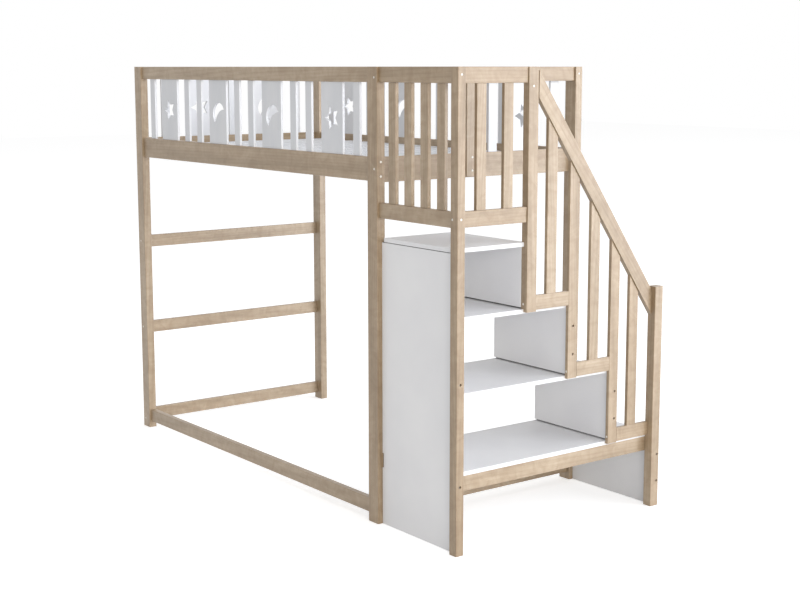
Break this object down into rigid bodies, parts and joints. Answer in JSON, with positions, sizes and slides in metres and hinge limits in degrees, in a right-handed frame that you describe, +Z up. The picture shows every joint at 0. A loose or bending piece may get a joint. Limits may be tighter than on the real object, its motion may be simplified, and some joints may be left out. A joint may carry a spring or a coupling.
{
  "type": "loft bed with storage stairs",
  "caption": "Raised bed on tall posts, with guard rails of plain and cut-out slats, and a side stair whose treads run under each other as open shelves.",
  "frame": {"origin": "on the floor, under the middle of the whole object's box", "axes": "+Z up, +X along the bed towards the stairs, +Y from the front long side to the back one"},
  "size_m": [2.472, 1.06, 1.77],
  "materials": {
    "birch": "clear satin lacquer",
    "white_board": "white satin paint",
    "white_slat": "white satin paint",
    "base_slat": "white satin paint"
  },
  "bodies": {
    "root": {"post_front_left": "birch", "post_front_right": "birch", "post_back_left": "birch", "post_back_right": "birch", "stair_post_front": "birch", "stair_post_back": "birch", "newel_top": "birch", "newel_middle": "birch", "newel_bottom": "birch", "guard_post_right": "birch", "rail_front_top": "birch", "rail_front_bed": "birch", "rail_front_floor": "birch", "rail_back_top": "birch", "rail_back_bed": "birch", "rail_left_top": "birch", "rail_left_bed": "birch", "rung_left_upper": "birch", "rung_left_lower": "birch", "rail_left_floor": "birch", "rail_right_top": "birch", "rail_right_bed": "birch", "rail_right_floor": "birch", "ledger_front": "birch", "ledger_back": "birch", "stair_low_beam": "birch", "platform_front_rail_top": "birch", "platform_front_rail_low": "birch", "platform_front_slat_1": "birch", "platform_front_slat_2": "birch", "platform_front_slat_3": "birch", "platform_front_slat_4": "birch", "platform_side_rail_top": "birch", "platform_side_rail_low": "birch", "platform_side_slat_1": "birch", "platform_side_slat_2": "birch", "handrail": "birch", "short_rail_top": "birch", "short_rail_middle": "birch", "short_rail_bottom": "birch", "baluster_top": "birch", "baluster_middle": "birch", "baluster_bottom": "birch", "front_panel": "white_board", "back_panel": "white_board", "platform_board": "white_board", "tread_top": "white_board", "tread_middle": "white_board", "tread_bottom": "white_board", "riser_top": "white_board", "riser_middle": "white_board", "riser_bottom": "white_board", "stair_inner_beam": "white_board", "guard_front_slats": "white_slat", "guard_back_slats": "white_slat", "guard_left_slats": "white_slat", "guard_right_slats": "white_slat", "slatted_base": "base_slat"}
  },
  "joints": []
}
